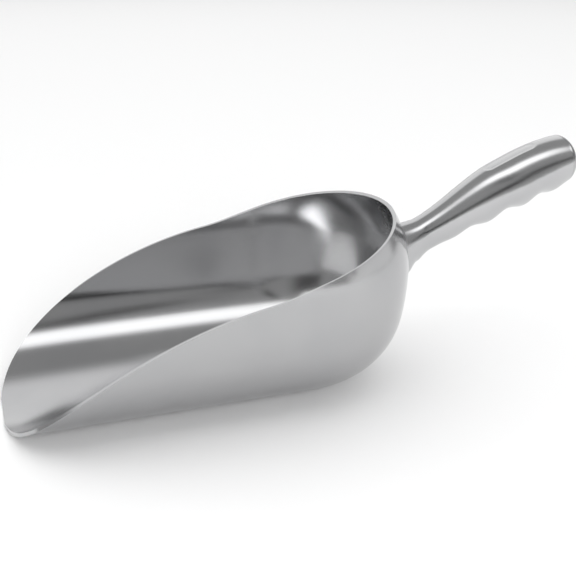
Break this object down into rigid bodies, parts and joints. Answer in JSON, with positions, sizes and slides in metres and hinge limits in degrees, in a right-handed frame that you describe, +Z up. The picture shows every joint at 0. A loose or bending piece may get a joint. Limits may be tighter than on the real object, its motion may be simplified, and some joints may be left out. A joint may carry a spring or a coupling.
{
  "type": "hand scoop",
  "caption": "Cast aluminium hand scoop with a deep round-bellied bowl, a rim that sweeps up to the back, and a hollow grip with finger grooves.",
  "frame": {"origin": "middle of the whole part's footprint, on the flat that the belly rests on", "axes": "+X from the lip towards the grip, +Y across the bowl, +Z up; Y = 0 is the plane of symmetry"},
  "size_m": [0.3224, 0.128, 0.123],
  "materials": {
    "cast_bowl": "polished cast",
    "weld": "satin",
    "cast_grip": "polished cast",
    "cap": "satin"
  },
  "bodies": {
    "root": {"bowl": "cast_bowl", "neck_weld": "weld", "handle": "cast_grip", "end_cap": "cap"}
  },
  "joints": []
}
